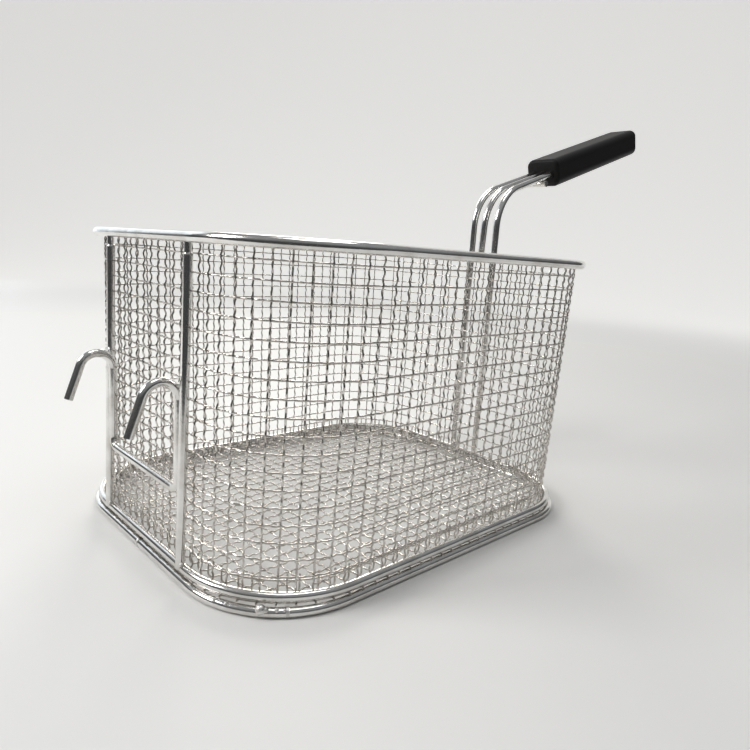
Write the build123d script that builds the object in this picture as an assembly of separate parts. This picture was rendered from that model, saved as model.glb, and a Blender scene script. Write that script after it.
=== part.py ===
from build123d import *
from math import atan2, cos, degrees, hypot, pi, radians, sin, sqrt, tan
import os

# Deep fryer basket: woven wire basket with a double hook in front and a three-wire handle behind.
# Origin at the middle of the base ring on the plane it stands on. Hook towards -Y, handle towards +Y.

# Woven mesh
mesh_pitch = 7.0
mesh_wire = 0.95
sheet_thickness = 0.5
ridge_height = 0.7
ridge_foot = 1.3

# Wire rings: half sizes and corner radii of their centrelines, the base's measured from the rim's
rim_wire = 4.35
rim_half_x = 93.8
rim_half_y = 110.9
rim_corner = 49.0
rim_height = 138.4
base_wire = 4.0
base_inset_x = 4.6
base_outset_y = 1.1
base_corner_inset = 1.0
lower_spread = 0.75
lower_corner_inset = 3.0
flange_gap = 1.1

# Wall details
wall_above_rim = 0.8
flange_overhang = 0.9
first_row_drop = 5.9
gap_cells = 3
bar_cells = 1
corner_facets = 7

# Floor sheet
floor_skirt = 9.0
floor_bend = 3.0

# Uprights on the hook side
upright_wire = 3.7
upright_foot_lean = 1.0
upright_x = 37.6
upright_neck_wire = 2.7
upright_shoulder_drop = 5.0

# Double hook
hook_wire = 3.9
hook_bar_z = 38.5
hook_bar_bend = 5.0
hook_bend = 7.4
hook_bend_z = 76.4
hook_arm_angle = 19.3
hook_arm_length = 16.3

# Handle
handle_wire = 4.2
handle_spacing = 9.0
handle_grip_spacing = 7.0
handle_rise = 40.4
handle_elbow_radius = 28.0
handle_slope = 19.4
handle_loop_radius = 4.8
handle_foot_drop = 1.5
middle_foot_drop = 2.0
middle_foot_shift = 1.3
middle_short = 12.0
cross_wire = 4.0
cross_length = 22.0
cross_before_grip = 12.4

# Grip
grip_start = 63.0
grip_length = 117.0
grip_width = 25.0
grip_thickness = 18.6
grip_edge = 5.0
grip_end_edge = 2.5
grip_lift = 0.5
grip_wire_depth = 60.0

# Seats
seat_clearance = 0.06
sheet_clearance = 0.3

os.makedirs("parts", exist_ok=True)

mesh_thickness = sheet_thickness + 2 * ridge_height
mesh_half = mesh_thickness / 2
gap_step = gap_cells + bar_cells
upper_half_x = rim_half_x - base_inset_x
upper_half_y = rim_half_y + base_outset_y
upper_corner = rim_corner - base_corner_inset
lower_half_x = upper_half_x + lower_spread
lower_half_y = upper_half_y + lower_spread
lower_corner = upper_corner - lower_corner_inset
lower_z = base_wire / 2
upper_z = lower_z + base_wire + flange_gap
flange_z = lower_z + (base_wire + flange_gap) / 2
flange_thickness = flange_gap - 2 * seat_clearance


# Rounded rectangles: the plan of every ring and of both mesh sheets

def plan(half_x, half_y, corner, z=0.0):
    """Face of a rounded rectangle at height z."""
    return Plane.XY.offset(z) * RectangleRounded(2 * half_x, 2 * half_y, corner)


def faceted_plan(half_x, half_y, corner, z):
    """Face of the same outline with a few flat facets at each corner."""
    points = []
    for number, (way_x, way_y) in enumerate(((1, 1), (-1, 1), (-1, -1), (1, -1))):
        for facet in range(corner_facets + 1):
            angle = pi / 2 * (number + facet / corner_facets)
            x = way_x * (half_x - corner) + corner * cos(angle)
            y = way_y * (half_y - corner) + corner * sin(angle)
            points.append((x, y))
    return Plane.XY.offset(z) * make_face(Polyline(*points, close=True))


def plan_length(half_x, half_y, corner):
    return 4 * (half_x - corner) + 4 * (half_y - corner) + 2 * pi * corner


def plan_point(half_x, half_y, corner, part):
    """Point and outward direction at a share of the way round, from the middle of the +X side."""
    side_x = half_x - corner
    side_y = half_y - corner
    quarter = pi * corner / 2
    distance = (part % 1.0) * plan_length(half_x, half_y, corner)
    runs = (
        (side_y, (half_x, 0.0), 90.0),
        (quarter, (side_x, side_y), 0.0),
        (2 * side_x, (side_x, half_y), 180.0),
        (quarter, (-side_x, side_y), 90.0),
        (2 * side_y, (-half_x, side_y), 270.0),
        (quarter, (-side_x, -side_y), 180.0),
        (2 * side_x, (-side_x, -half_y), 0.0),
        (quarter, (side_x, -side_y), 270.0),
        (side_y, (half_x, -side_y), 90.0),
    )
    for index, (length, start, heading) in enumerate(runs):
        if distance <= length or index == len(runs) - 1:
            break
        distance -= length
    if index % 2:
        angle = radians(heading) + distance / corner
        out = (cos(angle), sin(angle))
        return (start[0] + corner * out[0], start[1] + corner * out[1]), out
    along = (cos(radians(heading)), sin(radians(heading)))
    point = (start[0] + along[0] * distance, start[1] + along[1] * distance)
    return point, (along[1], -along[0])


def wire_ring(half_x, half_y, corner, z, diameter):
    """Closed ring of round wire."""
    path = plan(half_x, half_y, corner, z).face().outer_wire()
    section = Plane(origin=path @ 0, z_dir=path % 0) * Circle(diameter / 2)
    return sweep(section, path=path)


def bent_wire(points, radii, diameter):
    """Round wire along straight runs joined by bends."""
    path = FilletPolyline(*points, radius=radii)
    section = Plane(origin=path @ 0, z_dir=path % 0) * Circle(diameter / 2)
    return sweep(section, path=path)


def rod(start, end, diameter):
    """Straight round wire from point to point."""
    axis = Vector(*end) - Vector(*start)
    return extrude(Plane(origin=start, z_dir=axis) * Circle(diameter / 2), axis.length)


def cope(ring_half_y, ring_z, ring_wire):
    """Bar standing for the straight run of a ring on the hook side, with its seat's clearance."""
    bar = Cylinder(ring_wire / 2 + seat_clearance, 3 * upright_x, rotation=(0, 90, 0))
    return Pos(0, -ring_half_y, ring_z) * bar


# The wall's middle surface lies against the inside of the rim and of the upper base ring

wall_top_z = rim_height + wall_above_rim
wall_top_inset = rim_wire / 2 + seat_clearance + mesh_half
wall_foot_inset = base_wire / 2 + seat_clearance + mesh_half
wall_foot_z = flange_z - flange_thickness / 2


def wall_size(z, offset=0.0):
    """Half sizes and corner of the wall's middle surface at a height, moved out by offset."""
    share = (z - upper_z) / (rim_height - upper_z)
    top = (rim_half_x - wall_top_inset, rim_half_y - wall_top_inset, rim_corner - wall_top_inset)
    foot = (upper_half_x - wall_foot_inset, upper_half_y - wall_foot_inset, upper_corner - wall_foot_inset)
    return [f + (t - f) * share + offset for t, f in zip(top, foot)]


gap_columns = 2 * round(plan_length(*wall_size(rim_height / 2)) / mesh_pitch / gap_step / 2)
columns = gap_step * gap_columns
rows = int((rim_height - first_row_drop - upper_z) / mesh_pitch) + 1


def ridged_outline(z):
    """Outline of the wall's outer face: one upright ridge for each column of the weave."""
    size = wall_size(z, sheet_thickness / 2)
    length = plan_length(*size)
    points = []
    for column in range(columns):
        middle = (column + 0.5) / columns
        for shift, height in ((-ridge_foot / 2, 0), (0, ridge_height), (ridge_foot / 2, 0)):
            (x, y), (out_x, out_y) = plan_point(*size, middle + shift / length)
            points.append((x + out_x * height, y + out_y * height))
    return Plane.XY.offset(z) * make_face(Polyline(*points, close=True))


def void_plan(z, height=0.0):
    """Outline of the wall's inner face, or of a ridge that stands proud of it."""
    return faceted_plan(*wall_size(z, -sheet_thickness / 2 - height), z)


def side_faces(solid):
    """Faces of an upright loft or extrusion without its two flat ends."""
    return solid.faces().sort_by(Axis.Z)[1:-1]


def band(outer, inner):
    """Flat ring between two faces at one height."""
    return Face(outer.face().outer_wire(), [inner.face().outer_wire()])


def wall_void():
    """The space inside the wall: each row of the weave is a ridge round the inner face."""
    sections = [void_plan(wall_foot_z)]
    for row in reversed(range(rows)):
        z = rim_height - first_row_drop - mesh_pitch * row
        for shift, height in ((-ridge_foot / 2, 0), (0, ridge_height), (ridge_foot / 2, 0)):
            sections.append(void_plan(z + shift, height))
    return loft(sections + [void_plan(wall_top_z)], ruled=True)


def wall_gaps():
    """Plain grid of openings, each a few cells of the weave wide and high."""
    height = gap_cells * mesh_pitch - ridge_foot
    gaps = []
    for level in range((rows - 1) // gap_step):
        z = rim_height - first_row_drop - mesh_pitch * (level * gap_step + gap_cells / 2)
        size = wall_size(z)
        width = gap_cells * plan_length(*size) / columns - ridge_foot
        for number in range(gap_columns):
            (x, y), (out_x, out_y) = plan_point(*size, number / gap_columns)
            turn = degrees(atan2(out_y, out_x))
            gaps.append(Pos(x, y, z) * Rot(0, 0, turn) * Box(width / 2, width, height))
    return gaps


def wall_mesh():
    flange_top_z = wall_foot_z + flange_thickness
    flange_size = [value + flange_overhang for value in (lower_half_x, lower_half_y, lower_corner)]
    flange = extrude(plan(*flange_size, wall_foot_z), flange_thickness)
    weave_foot = ridged_outline(flange_top_z)
    weave_top = ridged_outline(wall_top_z)
    weave = loft([weave_foot, weave_top], ruled=True)
    faces = side_faces(flange) + side_faces(weave) + side_faces(wall_void())
    faces.append(band(plan(*flange_size, wall_foot_z), void_plan(wall_foot_z)))
    faces.append(band(plan(*flange_size, flange_top_z), weave_foot))
    faces.append(band(weave_top, void_plan(wall_top_z)))
    return Solid(Shell(faces)) - wall_gaps()


# Floor sheet: flat weave with a turned-up edge inside the wall

floor_z = flange_z
floor_inset = mesh_half + sheet_clearance + sheet_thickness / 2


def floor_mesh():
    half_x, half_y, corner = wall_size(upper_z, -floor_inset)
    under = floor_z - sheet_thickness / 2
    outer = Pos(0, 0, under) * extrude(plan(half_x, half_y, corner), floor_skirt)
    outer = fillet(outer.faces().sort_by(Axis.Z)[0].edges(), floor_bend + sheet_thickness)
    inner_size = (half_x - sheet_thickness, half_y - sheet_thickness, corner - sheet_thickness)
    inner = Pos(0, 0, under + sheet_thickness) * extrude(plan(*inner_size), floor_skirt)
    inner = fillet(inner.faces().sort_by(Axis.Z)[0].edges(), floor_bend)
    floor = outer - inner
    flat = [value - floor_bend - sheet_thickness - mesh_wire for value in (half_x, half_y, corner)]
    return floor + floor_ridges(*flat) - floor_gaps(*flat)


def floor_ridges(flat_x, flat_y, flat_corner):
    """Ridges of the weave: along X on the upper face, along Y on the under face."""
    ridge = Polygon((-ridge_foot / 2, 0), (ridge_foot / 2, 0), (0, ridge_height), align=None)
    face = sheet_thickness / 2
    ridges = []
    for lengthwise, across, along in ((False, flat_y, flat_x), (True, flat_x, flat_y)):
        count = int(across / mesh_pitch)
        for number in range(-count, count):
            place = (number + 0.5) * mesh_pitch
            past = max(0.0, abs(place) - (across - flat_corner))
            reach = along - flat_corner + sqrt(flat_corner ** 2 - past ** 2)
            if lengthwise:
                start = Plane((place, -reach, floor_z - face), x_dir=(1, 0, 0), z_dir=(0, 1, 0))
            else:
                start = Plane((-reach, place, floor_z + face), x_dir=(0, 1, 0), z_dir=(1, 0, 0))
            ridges.append(extrude(start * ridge, 2 * reach))
    return ridges


def floor_gaps(flat_x, flat_y, flat_corner):
    """Plain grid of openings wherever the flat part holds a whole one."""
    step = gap_step * mesh_pitch
    gap = gap_cells * mesh_pitch - ridge_foot
    count_x = int((flat_x - gap / 2) / step)
    count_y = int((flat_y - gap / 2) / step)
    gaps = []
    for column in range(-count_x, count_x + 1):
        for row in range(-count_y, count_y + 1):
            past_x = max(0.0, abs(column) * step + gap / 2 - (flat_x - flat_corner))
            past_y = max(0.0, abs(row) * step + gap / 2 - (flat_y - flat_corner))
            if hypot(past_x, past_y) < flat_corner:
                gaps.append(Pos(column * step, row * step, floor_z) * Box(gap, gap, floor_skirt))
    return gaps


# Uprights: a thick wire that lies against the weave, and a thinner neck from its rounded end to the rim

upright_foot_y = -upper_half_y - upright_foot_lean
shoulder_z = rim_height - upright_shoulder_drop - upright_wire / 2
shoulder_y = -(wall_size(shoulder_z)[1] + mesh_half + seat_clearance + upright_wire / 2)


def upright(side):
    x = side * upright_x
    foot = (x, upright_foot_y, upper_z)
    shoulder = (x, shoulder_y, shoulder_z)
    neck = (x, -rim_half_y, shoulder_z)
    wire = rod(foot, shoulder, upright_wire) + Pos(*shoulder) * Sphere(upright_wire / 2)
    wire += rod(neck, (x, -rim_half_y, rim_height), upright_neck_wire)
    return wire - cope(upper_half_y, upper_z, base_wire) - cope(rim_half_y, rim_height, rim_wire)


def upright_y(z):
    """Centre of the uprights' thick wire at a height."""
    share = (z - upper_z) / (shoulder_z - upper_z)
    return upright_foot_y + (shoulder_y - upright_foot_y) * share


# Double hook: two legs between the uprights, a crossbar below and an arm bent over in front of each leg

hook_leg_x = upright_x - upright_wire / 2 - hook_wire / 2 - seat_clearance
hook_y = upright_y((hook_bar_z + hook_bend_z) / 2)


def hook_arm():
    """Corner and tip of one arm in the plane of its leg, as (y, z)."""
    turn = radians(180 - hook_arm_angle)
    corner_z = hook_bend_z + hook_bend * tan(turn / 2)
    reach = hook_bend * tan(turn / 2) + hook_arm_length
    slant = radians(hook_arm_angle)
    return (hook_y, corner_z), (hook_y - reach * sin(slant), corner_z - reach * cos(slant))


def double_hook():
    corner, tip = hook_arm()
    left = [(-hook_leg_x, *tip), (-hook_leg_x, *corner), (-hook_leg_x, hook_y, hook_bar_z)]
    right = [(hook_leg_x, y, z) for x, y, z in reversed(left)]
    return bent_wire(left + right, [hook_bend, hook_bar_bend, hook_bar_bend, hook_bend], hook_wire)


# Handle: straight runs that touch the outside of the rim and of the upper base ring, bent over to the grip

rim_touch_y = rim_half_y + rim_wire / 2 + handle_wire / 2 + seat_clearance
base_touch_y = upper_half_y + base_wire / 2 + handle_wire / 2 + seat_clearance
handle_elbow_z = rim_height + handle_rise
handle_lean = (base_touch_y - rim_touch_y) / (rim_height - upper_z)
grip_loop_reach = grip_start + grip_wire_depth
loop_half = handle_spacing - (handle_spacing - handle_grip_spacing) * grip_loop_reach / grip_start


def handle_y(z):
    """Centre of the handle's upright run at a height."""
    return rim_touch_y + (rim_height - z) * handle_lean


def handle_point(distance, lift=0.0):
    """Point (y, z) on the handle's sloping run, at a distance from the elbow's corner."""
    slope = radians(handle_slope)
    y = handle_y(handle_elbow_z) + distance * cos(slope) - lift * sin(slope)
    return y, handle_elbow_z + distance * sin(slope) + lift * cos(slope)


def handle_frame_wire(diameter):
    foot_z = upper_z - handle_foot_drop
    left = [
        (-handle_spacing, handle_y(foot_z), foot_z),
        (-handle_spacing, *handle_point(0)),
        (-loop_half, *handle_point(grip_loop_reach)),
    ]
    right = [(-x, y, z) for x, y, z in reversed(left)]
    radii = [handle_elbow_radius, handle_loop_radius, handle_loop_radius, handle_elbow_radius]
    return bent_wire(left + right, radii, diameter)


def middle_wire(diameter):
    foot_z = rim_height - middle_foot_drop
    foot = (-middle_foot_shift, handle_y(foot_z), foot_z)
    end = (0, *handle_point(grip_loop_reach - middle_short))
    return bent_wire([foot, (0, *handle_point(0)), end], [handle_elbow_radius], diameter)


def handle_cross_wire():
    """Short wire under the three others, just before the grip."""
    centre = handle_point(grip_start - cross_before_grip, -(handle_wire + cross_wire) / 2 - seat_clearance)
    return rod((-cross_length / 2, *centre), (cross_length / 2, *centre), cross_wire)


def grip():
    """Plastic moulding round the ends of the handle wires."""
    slope = radians(handle_slope)
    along = Plane(
        origin=(0, *handle_point(grip_start, grip_lift)),
        x_dir=(1, 0, 0),
        z_dir=(0, cos(slope), sin(slope)),
    )
    block = extrude(along * RectangleRounded(grip_width, grip_thickness, grip_edge), grip_length)
    ends = block.faces().sort_by(Axis.Y)
    block = fillet(ends[0].edges() + ends[-1].edges(), grip_end_edge)
    bore = handle_wire + 2 * seat_clearance
    return block - handle_frame_wire(bore) - middle_wire(bore)


# Pieces, one file each

nodes = {
    "wall_mesh": wall_mesh(),
    "floor_mesh": floor_mesh(),
    "rim_ring": wire_ring(rim_half_x, rim_half_y, rim_corner, rim_height, rim_wire),
    "upper_base_ring": wire_ring(upper_half_x, upper_half_y, upper_corner, upper_z, base_wire),
    "lower_base_ring": wire_ring(lower_half_x, lower_half_y, lower_corner, lower_z, base_wire),
    "left_upright": upright(-1),
    "right_upright": upright(1),
    "double_hook": double_hook(),
    "handle_frame": handle_frame_wire(handle_wire),
    "handle_middle_wire": middle_wire(handle_wire),
    "handle_cross_wire": handle_cross_wire(),
    "handle_grip": grip(),
}
for name, solid in nodes.items():
    export_step(solid, f"parts/{name}.step")
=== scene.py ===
from math import cos, pi, radians, sin

import bpy
import numpy as np
from mathutils import Matrix, Vector


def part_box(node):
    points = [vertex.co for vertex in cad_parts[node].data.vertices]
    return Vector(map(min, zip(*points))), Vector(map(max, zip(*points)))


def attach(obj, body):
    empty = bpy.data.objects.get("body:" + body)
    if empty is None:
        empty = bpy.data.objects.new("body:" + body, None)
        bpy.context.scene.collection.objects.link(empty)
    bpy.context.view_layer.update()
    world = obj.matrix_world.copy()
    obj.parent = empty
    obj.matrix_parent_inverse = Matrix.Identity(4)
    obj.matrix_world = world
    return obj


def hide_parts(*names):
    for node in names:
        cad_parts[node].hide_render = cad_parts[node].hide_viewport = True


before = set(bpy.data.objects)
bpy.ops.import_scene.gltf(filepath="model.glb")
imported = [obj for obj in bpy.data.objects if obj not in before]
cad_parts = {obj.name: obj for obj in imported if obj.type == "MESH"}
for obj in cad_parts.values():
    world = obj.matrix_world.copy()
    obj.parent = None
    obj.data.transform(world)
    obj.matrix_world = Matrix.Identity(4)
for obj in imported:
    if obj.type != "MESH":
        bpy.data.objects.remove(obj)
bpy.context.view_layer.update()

MM = 0.001


# Sizes read from the frame, in metres

def size_of(node):
    """Lowest and highest corner of a node's box."""
    low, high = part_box(node)
    return np.array(low), np.array(high)


rim_low, rim_high = size_of("rim_ring")
upper_low, upper_high = size_of("upper_base_ring")
lower_low, lower_high = size_of("lower_base_ring")

rim_radius = (rim_high[2] - rim_low[2]) / 2
base_radius = (upper_high[2] - upper_low[2]) / 2
rim_z = (rim_high[2] + rim_low[2]) / 2
upper_z = (upper_high[2] + upper_low[2]) / 2
lower_z = (lower_high[2] + lower_low[2]) / 2
flange_z = (upper_z + lower_z) / 2
rim_half = rim_high[:2] - rim_radius
upper_half = upper_high[:2] - base_radius
lower_half = lower_high[:2] - base_radius

# Corner radii of the rings' centrelines, as in the part's source

rim_corner = 49.0 * MM
upper_corner = 48.0 * MM
lower_corner = 45.0 * MM
lower_ring = (*lower_half, lower_corner)

# The weave: crimped wire with one and a half waves to each cell

mesh_wire = 0.86 * MM
mesh_half = 0.95 * MM
mesh_pitch = 7.0 * MM
mesh_seat = 0.06 * MM
waves_per_cell = 1.5
samples_per_wave = 4
wave_height = 0.28 * MM
crest_flatness = 1.4142
tube_sides = 6
sample_step = mesh_pitch / waves_per_cell / samples_per_wave

# The wall: upright wires round the basket, level wires from the rim down, and the flange at the foot

columns = 102
column_phase = 0.32
column_top_rise = 0.9 * MM
rows = 18
first_row_drop = 5.9 * MM
first_row_z = rim_z - first_row_drop
samples_above_first_row = 12
flange_overhang = 1.9 * MM
flange_bend = 1.6 * MM
middle_of_bend = 0.29 * flange_bend
ring_samples = columns * int(waves_per_cell * samples_per_wave)
ring_share = (np.arange(ring_samples) + 0.5) / ring_samples

# The floor: a sheet with its edge turned up inside the wall

floor_inset = 2 * mesh_wire + 0.1 * MM
floor_lift = 0.3 * MM
floor_bend = 3.0 * MM
floor_skirt = 9.0 * MM
floor_bend_angles = (0.5, 1.05, 1.5)
floor_edge_rise = 3.5 * MM


# Outlines: rounded rectangles, given by their half sizes and corner radius

rounding_slack = 1e-12


def outline_length(half_x, half_y, corner):
    return 4 * (half_x - corner) + 4 * (half_y - corner) + 2 * pi * corner


def grown(outline, reach):
    """The same outline moved outward by reach."""
    return [value + reach for value in outline]


def rounded(half_x, half_y, corner, share):
    """Points and outward directions on an outline; share runs from the middle of the +X side."""
    side_x, side_y = half_x - corner, half_y - corner
    quarter = pi * corner / 2
    distance = np.mod(share, 1.0) * outline_length(half_x, half_y, corner)
    points = np.zeros(distance.shape + (2,))
    out = np.zeros(distance.shape + (2,))
    runs = (
        (side_y, (half_x, 0.0), 0), (quarter, (side_x, side_y), 0), (2 * side_x, (side_x, half_y), 1),
        (quarter, (-side_x, side_y), 1), (2 * side_y, (-half_x, side_y), 2), (quarter, (-side_x, -side_y), 2),
        (2 * side_x, (-side_x, -half_y), 3), (quarter, (side_x, -side_y), 3), (side_y, (half_x, -side_y), 0),
    )
    start = 0.0
    for index, (length, origin, turn) in enumerate(runs):
        here = (distance >= start) & (distance <= start + length + rounding_slack)
        along = distance[here] - start
        round_corner = index % 2 == 1
        if round_corner:
            angle = turn * pi / 2 + along / corner
            out[here] = np.stack([np.cos(angle), np.sin(angle)], -1)
            points[here] = np.array(origin) + corner * out[here]
        else:
            normal = np.array([cos(turn * pi / 2), sin(turn * pi / 2)])
            points[here] = np.array(origin) + along[:, None] * np.array([-normal[1], normal[0]])
            out[here] = normal
        start += length
    return points, out


def wall_sizes(z):
    """Outline of the wall's middle surface at a height; the wall tapers from the rim to the base."""
    share = (z - upper_z) / (rim_z - upper_z)
    top = grown((*rim_half, rim_corner), -(rim_radius + mesh_seat + mesh_half))
    foot = grown((*upper_half, upper_corner), -(base_radius + mesh_seat + mesh_half))
    return [f + (t - f) * share for t, f in zip(top, foot)]


def floor_sizes():
    """Outline of the floor's turned-up edge, inside the foot of the wall."""
    return grown(wall_sizes(upper_z), -floor_inset)


def level_path(plan, z):
    """Points of an outline, all at one height."""
    return np.column_stack([plan, np.full(len(plan), z)])


# Meshes

def mesh_piece(name, vertices, faces):
    """A new object of smooth faces."""
    mesh = bpy.data.meshes.new(name)
    mesh.from_pydata(vertices, [], faces)
    mesh.polygons.foreach_set("use_smooth", np.ones(len(mesh.polygons), bool))
    mesh.update()
    piece = bpy.data.objects.new(name, mesh)
    bpy.context.scene.collection.objects.link(piece)
    return piece


def tube_sections(path, radius, sides, closed):
    """A circle of points round each point of a path."""
    path = np.asarray(path, float)
    if closed:
        tangent = np.roll(path, -1, 0) - np.roll(path, 1, 0)
    else:
        tangent = np.gradient(path, axis=0)
    tangent /= np.linalg.norm(tangent, axis=1)[:, None]
    # A closed path lies level; an open one lies square to the axis along which it spans least
    span = path.max(0) - path.min(0)
    axis = np.zeros(3)
    axis[2 if closed else int(np.argmin(span))] = 1.0
    side = np.cross(tangent, axis)
    side /= np.linalg.norm(side, axis=1)[:, None]
    up = np.cross(side, tangent)
    angle = np.arange(sides) * 2 * pi / sides
    turned = np.cos(angle)[:, None] * side[:, None, :] + np.sin(angle)[:, None] * up[:, None, :]
    return path[:, None, :] + radius * turned


def tube_quads(count, sides, closed):
    """Faces between the circles of one tube, counted from its first point."""
    sections = np.arange(count if closed else count - 1)
    first = sections[:, None] * sides
    second = ((sections + 1) % count)[:, None] * sides
    around = np.arange(sides)
    following = (around + 1) % sides
    corners = [first + around, second + around, second + following, first + following]
    return np.stack(corners, -1).reshape(-1, 4)


def tubes(name, paths, radius, sides, closed=False):
    """One mesh of round tubes along lists of points, with capped ends unless closed."""
    vertices, faces, base = [], [], 0
    around = np.arange(sides)
    for path in paths:
        sections = tube_sections(path, radius, sides, closed)
        count = len(sections)
        vertices.append(sections.reshape(-1, 3))
        faces.extend((base + tube_quads(count, sides, closed)).tolist())
        if not closed:
            faces.append((base + around[::-1]).tolist())
            faces.append((base + (count - 1) * sides + around).tolist())
        base += count * sides
    return mesh_piece(name, np.concatenate(vertices).tolist(), faces)


# The woven wires

def crimp(phase):
    """The wave of a crimped wire: flat crests joined by slants; phase counts half waves from a crest."""
    return wave_height * np.clip(np.cos(phase * pi) * crest_flatness, -1.0, 1.0)


def half_waves(distance):
    """Half waves of crimp in a stretch of wire."""
    return distance / mesh_pitch * 2 * waves_per_cell


def column_levels():
    """Heights of the points along an upright wire, in even steps counted from the first row."""
    top_z = rim_z + column_top_rise
    below = int((top_z - upper_z) / sample_step)
    z = first_row_z + sample_step * (np.arange(-below, samples_above_first_row) + 0.5)
    return z[(z > flange_z + flange_bend) & (z < top_z)]


def wall_columns():
    """The wall's upright wires; each turns out at its foot and lies between the base rings."""
    flange_reach = base_radius + mesh_half + flange_overhang
    foot = (
        (flange_reach, 0.0), (flange_reach / 2, 0.0), (flange_bend, 0.0), (middle_of_bend, middle_of_bend),
    )
    levels = column_levels()
    paths = []
    for column in range(columns):
        share = np.array([(column + column_phase) / columns])
        plan, out = rounded(*wall_sizes(flange_z), share)
        points = [[*(plan[0] + out[0] * reach), flange_z + lift] for reach, lift in foot]
        for level, shift in zip(levels, crimp(half_waves(levels - first_row_z) + column)):
            plan, out = rounded(*wall_sizes(level), share)
            points.append([*(plan[0] + out[0] * shift), level])
        paths.append(points)
    return tubes("wall_mesh_uprights", paths, mesh_wire / 2, tube_sides)


def wall_rows():
    """The wall's level wires, and one more in the flange between the base rings."""
    share = ring_share + column_phase / columns
    paths = []
    for row in range(rows):
        z = first_row_z - row * mesh_pitch
        plan, out = rounded(*wall_sizes(z), share)
        offset = crimp(ring_share * columns * 2 * waves_per_cell + row + 1)
        paths.append(level_path(plan + out * offset[:, None], z))
    plan, _ = rounded(*grown(wall_sizes(flange_z), base_radius + mesh_half), share)
    paths.append(level_path(plan, flange_z))
    return tubes("wall_mesh_hoops", paths, mesh_wire / 2, tube_sides, closed=True)


def floor_profile(reach, crest):
    """Run and height of the points along a floor wire: level and crimped, with both ends turned up."""
    flat = reach - floor_bend
    steps = int(flat / sample_step)
    run = sample_step * (np.arange(-steps, steps) + 0.5)
    middle = list(zip(run, crimp(half_waves(run) + crest)))
    arc = [(flat + floor_bend * sin(a), floor_bend - floor_bend * cos(a)) for a in floor_bend_angles]
    rises = np.arange(sample_step, floor_skirt - floor_bend, sample_step)
    end = arc + [(reach, floor_bend + rise) for rise in rises]
    return [(-s, h) for s, h in reversed(end)] + middle + end


def floor_wires():
    """The floor's wires in both directions, each ending beside the wall."""
    z = flange_z + floor_lift
    half_x, half_y, corner = floor_sizes()
    paths = []
    for direction, across, along in ((0, half_y, half_x), (1, half_x, half_y)):
        count = int((across - floor_bend) / mesh_pitch)
        for number in range(-count, count + 1):
            place = number * mesh_pitch
            past_side = max(0.0, abs(place) - (across - corner))
            reach = along - corner + np.sqrt(corner ** 2 - past_side ** 2)
            profile = floor_profile(reach, number + direction)
            if direction == 0:
                paths.append([(s, place, z + h) for s, h in profile])
            else:
                paths.append([(place, s, z + h) for s, h in profile])
    return tubes("floor_mesh_wires", paths, mesh_wire / 2, tube_sides)


def floor_edge():
    """The level wire along the floor's turned-up edge."""
    plan, _ = rounded(*grown(floor_sizes(), -mesh_wire), ring_share)
    path = level_path(plan, upper_z + floor_edge_rise)
    return tubes("floor_mesh_hoop", [path], mesh_wire / 2, tube_sides, closed=True)


# Welds: small beads where wires touch, and the joints of the lower base ring

bead_rings = 6
bead_sides = 10

# At the foot of the uprights: the side of the wire that a bead is on, and its radius

foot_bead_inset = 0.7 * MM
foot_beads = ((1, 0.9 * MM), (-1, 0.7 * MM))

# On the hook's legs: inset from their back, distance from the hook's top or foot, and radius

hook_top_bead = (2.6 * MM, 3.2 * MM, 1.1 * MM)
hook_foot_bead = (2.4 * MM, 7.0 * MM, 0.9 * MM)
outer_bead = (2.2 * MM, 14.0 * MM, 0.7 * MM)

# On the handle's cross wire, and where its legs pass the rim and the base

cross_bead_spread = 0.8
cross_bead_inset = 1.2 * MM
cross_bead_sink = 0.6 * MM
cross_bead_radius = 1.0 * MM
leg_bead_proud = 0.1 * MM
leg_bead_radius = 1.6 * MM

# On the lower base ring near the hook: share of the way round, and radius

ring_bead_out = 0.6
ring_bead_up = 0.8
ring_bead_sizes = (
    (0.8595, 2.1 * MM), (0.862, 1.2 * MM), (0.834, 0.8 * MM),
    (0.841, 0.7 * MM), (0.8675, 0.9 * MM), (0.8715, 0.7 * MM),
)
joint_shares = (0.748, 0.873)
joint_half = 0.7 * MM
joint_rise = 0.14 * MM
joint_samples = 5
joint_sides = 16


def front_beads():
    """Places and radii of the beads on the uprights and the hook."""
    upright_low, upright_high = size_of("right_upright")
    hook_low, hook_high = size_of("double_hook")
    upright_x = (upright_low[0] + upright_high[0]) / 2
    upright_radius = (upright_high[0] - upright_low[0]) / 2
    foot_y = upper_low[1] + foot_bead_inset
    places = []
    for side in (-1, 1):
        for way, radius in foot_beads:
            places.append((side * upright_x + way * upright_radius, foot_y, upper_high[2], radius))
        seam_x = side * (upright_x - upright_radius)
        inset, drop, radius = hook_top_bead
        places.append((seam_x, hook_high[1] - inset, hook_high[2] - drop, radius))
        inset, rise, radius = hook_foot_bead
        places.append((seam_x, hook_high[1] - inset, hook_low[2] + rise, radius))
    inset, rise, radius = outer_bead
    places.append((-upright_x - upright_radius, hook_high[1] - inset, hook_low[2] + rise, radius))
    return places


def handle_beads():
    """Places and radii of the beads on the handle's wires."""
    _, frame_high = size_of("handle_frame")
    cross_low, cross_high = size_of("handle_cross_wire")
    cross_y = (cross_low[1] + cross_high[1]) / 2
    leg_x = frame_high[0] - (cross_high[2] - cross_low[2]) / 2
    rim_y = rim_high[1] + leg_bead_proud
    base_y = upper_high[1] + leg_bead_proud
    places = []
    for x in (-cross_bead_spread * leg_x, 0.0, cross_bead_spread * leg_x):
        places.append((x, cross_y - cross_bead_inset, cross_high[2] - cross_bead_sink, cross_bead_radius))
    for x in (-leg_x, leg_x):
        places.append((x, rim_y, rim_z, leg_bead_radius))
        places.append((x, base_y, upper_z, leg_bead_radius))
    places.append((0.0, rim_y, rim_z, leg_bead_radius))
    return places


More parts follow.
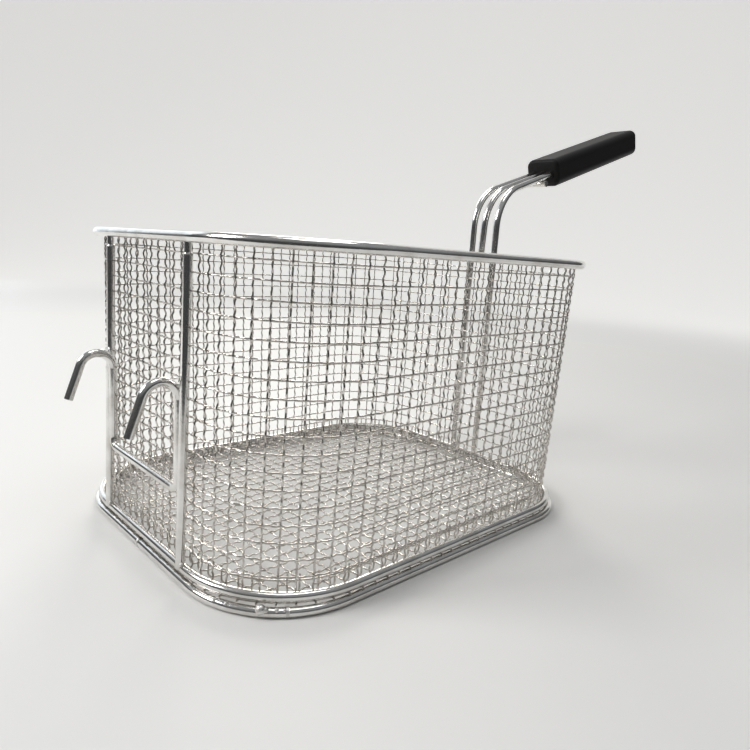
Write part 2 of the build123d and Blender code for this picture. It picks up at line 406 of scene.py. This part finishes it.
def ring_beads():
    """Places and radii of the blob of weld on the lower base ring and of its spatter."""
    z = lower_z + base_radius * ring_bead_up
    places = []
    for share, radius in ring_bead_sizes:
        plan, out = rounded(*lower_ring, np.array([share]))
        places.append((*(plan[0] + out[0] * base_radius * ring_bead_out), z, radius))
    return places


def add_bead(vertices, faces, x, y, z, radius):
    """A ball: a top point, rings of points and a bottom point."""
    top = len(vertices)
    vertices.append((x, y, z + radius))
    for ring in range(1, bead_rings):
        tilt = pi * ring / bead_rings
        across = radius * sin(tilt)
        for side in range(bead_sides):
            turn = 2 * pi * side / bead_sides
            vertices.append((x + across * cos(turn), y + across * sin(turn), z + radius * cos(tilt)))
    bottom = len(vertices)
    vertices.append((x, y, z - radius))
    first, last = top + 1, bottom - bead_sides
    for side in range(bead_sides):
        following = (side + 1) % bead_sides
        faces.append((top, first + side, first + following))
        faces.append((last + side, bottom, last + following))
        for here in range(first, last, bead_sides):
            there = here + bead_sides
            faces.append((here + side, there + side, there + following, here + following))


def weld_beads():
    """One mesh of all the beads."""
    vertices, faces = [], []
    for place in front_beads() + handle_beads() + ring_beads():
        add_bead(vertices, faces, *place)
    return mesh_piece("weld_beads", vertices, faces)


def ring_joints():
    """Slightly raised bands where wire ends meet in the lower base ring."""
    band = np.linspace(-joint_half, joint_half, joint_samples) / outline_length(*lower_ring)
    paths = []
    for middle in joint_shares:
        plan, _ = rounded(*lower_ring, middle + band)
        paths.append(level_path(plan, lower_z + joint_rise))
    return tubes("base_ring_joints", paths, base_radius + joint_rise, joint_sides)


# Parts of materials

relief_depth = 0.2 * MM


def principled(name, colour, metallic, roughness):
    """A new material, with its node tree and its shader."""
    material = bpy.data.materials.new(name)
    material.use_nodes = True
    shader = material.node_tree.nodes["Principled BSDF"]
    shader.inputs["Base Color"].default_value = (*colour, 1.0)
    shader.inputs["Metallic"].default_value = metallic
    shader.inputs["Roughness"].default_value = roughness
    return material, material.node_tree, shader


def object_noise(tree, scale, detail):
    """Noise that sits on the object's own coordinates."""
    place = tree.nodes.new("ShaderNodeTexCoord")
    noise = tree.nodes.new("ShaderNodeTexNoise")
    noise.inputs["Scale"].default_value = scale
    noise.inputs["Detail"].default_value = detail
    tree.links.new(place.outputs["Object"], noise.inputs["Vector"])
    return noise.outputs["Fac"]


def relief(tree, shader, height, strength):
    """A slight bump on the shader's surface."""
    bump = tree.nodes.new("ShaderNodeBump")
    bump.inputs["Strength"].default_value = strength
    bump.inputs["Distance"].default_value = relief_depth
    tree.links.new(height, bump.inputs["Height"])
    tree.links.new(bump.outputs["Normal"], shader.inputs["Normal"])


def map_range(tree, value, before, after, smooth=False):
    """A value carried from one range to another."""
    node = tree.nodes.new("ShaderNodeMapRange")
    if smooth:
        node.interpolation_type = "SMOOTHSTEP"
    node.inputs["From Min"].default_value = before[0]
    node.inputs["From Max"].default_value = before[1]
    node.inputs["To Min"].default_value = after[0]
    node.inputs["To Max"].default_value = after[1]
    tree.links.new(value, node.inputs["Value"])
    return node.outputs["Result"]


def combined(tree, operation, first, second):
    """Two values put together by a maths node."""
    node = tree.nodes.new("ShaderNodeMath")
    node.operation = operation
    tree.links.new(first, node.inputs[0])
    tree.links.new(second, node.inputs[1])
    return node.outputs["Value"]


# Materials

stain_edges = (0.35, 0.6)
noise_middle = (0.3, 0.7)
stained_roughness = 1.5
clean_roughness = 0.7
finer = 6


def plated(name, colour, stain, roughness, scale, bump):
    """Bright plating with faint stains and a slightly uneven surface."""
    material, tree, shader = principled(name, colour, metallic=1.0, roughness=roughness)
    noise = object_noise(tree, scale, detail=4.0)
    tint = tree.nodes.new("ShaderNodeValToRGB")
    for element, position, shade in zip(tint.color_ramp.elements, stain_edges, (stain, colour)):
        element.position = position
        element.color = (*shade, 1.0)
    tree.links.new(noise, tint.inputs["Fac"])
    tree.links.new(tint.outputs["Color"], shader.inputs["Base Color"])
    rough = map_range(tree, noise, noise_middle, (roughness * stained_roughness, roughness * clean_roughness))
    tree.links.new(rough, shader.inputs["Roughness"])
    relief(tree, shader, height=object_noise(tree, scale * finer, detail=2.0), strength=bump)
    return material


def wire_plating():
    colour, stain = (0.80, 0.79, 0.77), (0.66, 0.64, 0.61)
    return plated("wire_plating", colour, stain, roughness=0.15, scale=90.0, bump=0.1)


def mesh_plating():
    colour, stain = (0.72, 0.69, 0.65), (0.50, 0.47, 0.43)
    return plated("mesh_plating", colour, stain, roughness=0.18, scale=160.0, bump=0.15)


def weld_plating():
    colour, stain = (0.82, 0.81, 0.79), (0.62, 0.60, 0.57)
    return plated("weld_plating", colour, stain, roughness=0.36, scale=700.0, bump=0.3)


def grip_plastic():
    """Black plastic with a fine grain and little shine."""
    colour = (0.010, 0.009, 0.009)
    material, tree, shader = principled("grip_plastic", colour, metallic=0.0, roughness=0.5)
    shader.inputs["Specular IOR Level"].default_value = 0.18
    relief(tree, shader, height=object_noise(tree, scale=900.0, detail=3.0), strength=0.08)
    return material


# The nodes' looks, and the pieces that scene.py adds

wire_metal = wire_plating()
mesh_metal = mesh_plating()
weld_metal = weld_plating()
grip_material = grip_plastic()

for node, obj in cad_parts.items():
    obj.data.materials.clear()
    obj.data.materials.append(grip_material if node == "handle_grip" else wire_metal)

woven_pieces = (
    (wall_columns(), "wall_mesh"),
    (wall_rows(), "wall_mesh"),
    (floor_wires(), "floor_mesh"),
    (floor_edge(), "floor_mesh"),
)
for piece, node in woven_pieces:
    piece.data.materials.append(mesh_metal)
    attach(piece, "root")
    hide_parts(node)

for piece in (weld_beads(), ring_joints()):
    piece.data.materials.append(weld_metal)
    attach(piece, "root")


# The photo's camera, fitted to it: degrees, metres and pixels

camera_azimuth = 46.126
camera_pitch = 11.142
camera_roll = -4.029
camera_place = (0.2532, -0.2184, 0.1370)
camera_near_clip = 0.01
photo_focal_px = 615.26
photo_size_px = 750
sensor_mm = 36.0


def photo_camera():
    azimuth, pitch, roll = radians(camera_azimuth), radians(camera_pitch), radians(camera_roll)
    forward = Vector((-sin(azimuth) * cos(pitch), cos(azimuth) * cos(pitch), -sin(pitch)))
    right = Vector((cos(azimuth), sin(azimuth), 0))
    down = forward.cross(right)
    turned_right = cos(roll) * right + sin(roll) * down
    turned_down = -sin(roll) * right + cos(roll) * down
    basis = Matrix((turned_right, -turned_down, -forward)).transposed().to_4x4()
    data = bpy.data.cameras.new("camera")
    data.sensor_width = sensor_mm
    data.lens = photo_focal_px * sensor_mm / photo_size_px
    data.clip_start = camera_near_clip
    camera = bpy.data.objects.new("camera", data)
    camera.matrix_world = Matrix.Translation(camera_place) @ basis
    bpy.context.scene.collection.objects.link(camera)
    bpy.context.scene.camera = camera


# Floor and backdrop: one sheet of paper that curves up far behind the basket, in metres

paper_half_width = 3.0
paper_near = -0.36
paper_far = 3.0
paper_bend = 1.6
paper_bend_points = 24
paper_height = 3.5
paper_colour = (0.80, 0.79, 0.77)
glow_reach = (0.3, 1.9)
far_glow = 0.7


def seen_by_eye_or_mirror(tree):
    """One for camera, glossy and transmission rays, so that the glow lights nothing."""
    path = tree.nodes.new("ShaderNodeLightPath")
    seen = combined(tree, "MAXIMUM", path.outputs["Is Camera Ray"], path.outputs["Is Glossy Ray"])
    return combined(tree, "MAXIMUM", seen, path.outputs["Is Transmission Ray"])


def studio_paper():
    """Pale paper whose far parts glow, so that the backdrop stays pale away from the lamps."""
    material, tree, shader = principled("studio_paper", paper_colour, metallic=0.0, roughness=0.6)
    place = tree.nodes.new("ShaderNodeTexCoord")
    away = tree.nodes.new("ShaderNodeVectorMath")
    away.operation = "LENGTH"
    tree.links.new(place.outputs["Object"], away.inputs[0])
    far = map_range(tree, away.outputs["Value"], glow_reach, (0.0, far_glow), smooth=True)
    glow = combined(tree, "MULTIPLY", far, seen_by_eye_or_mirror(tree))
    shader.inputs["Emission Color"].default_value = (*paper_colour, 1.0)
    tree.links.new(glow, shader.inputs["Emission Strength"])
    return material


def floor_and_backdrop():
    bend_start = paper_far - paper_bend
    profile = [(paper_near, 0.0), (bend_start, 0.0)]
    for angle in np.linspace(0, pi / 2, paper_bend_points)[1:]:
        profile.append((bend_start + paper_bend * sin(angle), paper_bend - paper_bend * cos(angle)))
    profile.append((paper_far, paper_height))
    vertices = [(x, y, z) for y, z in profile for x in (-paper_half_width, paper_half_width)]
    faces = [(2 * i, 2 * i + 1, 2 * i + 3, 2 * i + 2) for i in range(len(profile) - 1)]
    obj = mesh_piece("floor", vertices, faces)
    obj.rotation_euler = (0, 0, radians(camera_azimuth))
    obj.data.materials.append(studio_paper())


# Lamps and room

warm = (1.0, 0.97, 0.93)
cool = (0.85, 0.93, 1.0)
room_colour = (0.94, 0.97, 1.0, 1)
room_heights = (0.05, 0.75)
horizon_level = 0.06
overhead_level = 0.3


def softbox(name, place, aim, size, power, spread, colour=(1, 1, 1)):
    """A flat lamp that looks at a point; power in watts, spread in degrees."""
    data = bpy.data.lights.new(name, "AREA")
    data.shape = "RECTANGLE"
    data.size, data.size_y = size
    data.energy = power
    data.spread = radians(spread)
    data.color = colour
    light = bpy.data.objects.new(name, data)
    light.location = place
    light.rotation_euler = (Vector(aim) - Vector(place)).to_track_quat("-Z", "Y").to_euler()
    light.visible_camera = False
    bpy.context.scene.collection.objects.link(light)


def lamps():
    softbox("key_light", place=(-0.6, -1.1, 0.95), aim=(0, 0, 0.05), size=(0.5, 0.6), power=9.0, spread=150)
    softbox("back_light", place=(-1.18, 0.84, 0.85), aim=(0, 0, 0.08), size=(0.64, 0.5), power=2.5, spread=90,
            colour=warm)
    softbox("window_light", place=(-1.5, -0.2, 0.62), aim=(0, 0, 0.1), size=(1.0, 1.15), power=1.0, spread=90,
            colour=cool)
    softbox("top_light", place=(0.15, 0.0, 1.4), aim=(0, 0, 0.05), size=(0.8, 0.6), power=3.8, spread=150)


def room():
    """A dim room that is lighter overhead."""
    world = bpy.data.worlds.new("world")
    world.use_nodes = True
    tree = world.node_tree
    background = tree.nodes["Background"]
    background.inputs["Color"].default_value = room_colour
    place = tree.nodes.new("ShaderNodeTexCoord")
    split = tree.nodes.new("ShaderNodeSeparateXYZ")
    tree.links.new(place.outputs["Generated"], split.inputs["Vector"])
    levels = (horizon_level, overhead_level)
    strength = map_range(tree, split.outputs["Z"], room_heights, levels, smooth=True)
    tree.links.new(strength, background.inputs["Strength"])
    bpy.context.scene.world = world


photo_camera()
floor_and_backdrop()
lamps()
room()
bpy.context.scene.view_settings.view_transform = "Standard"
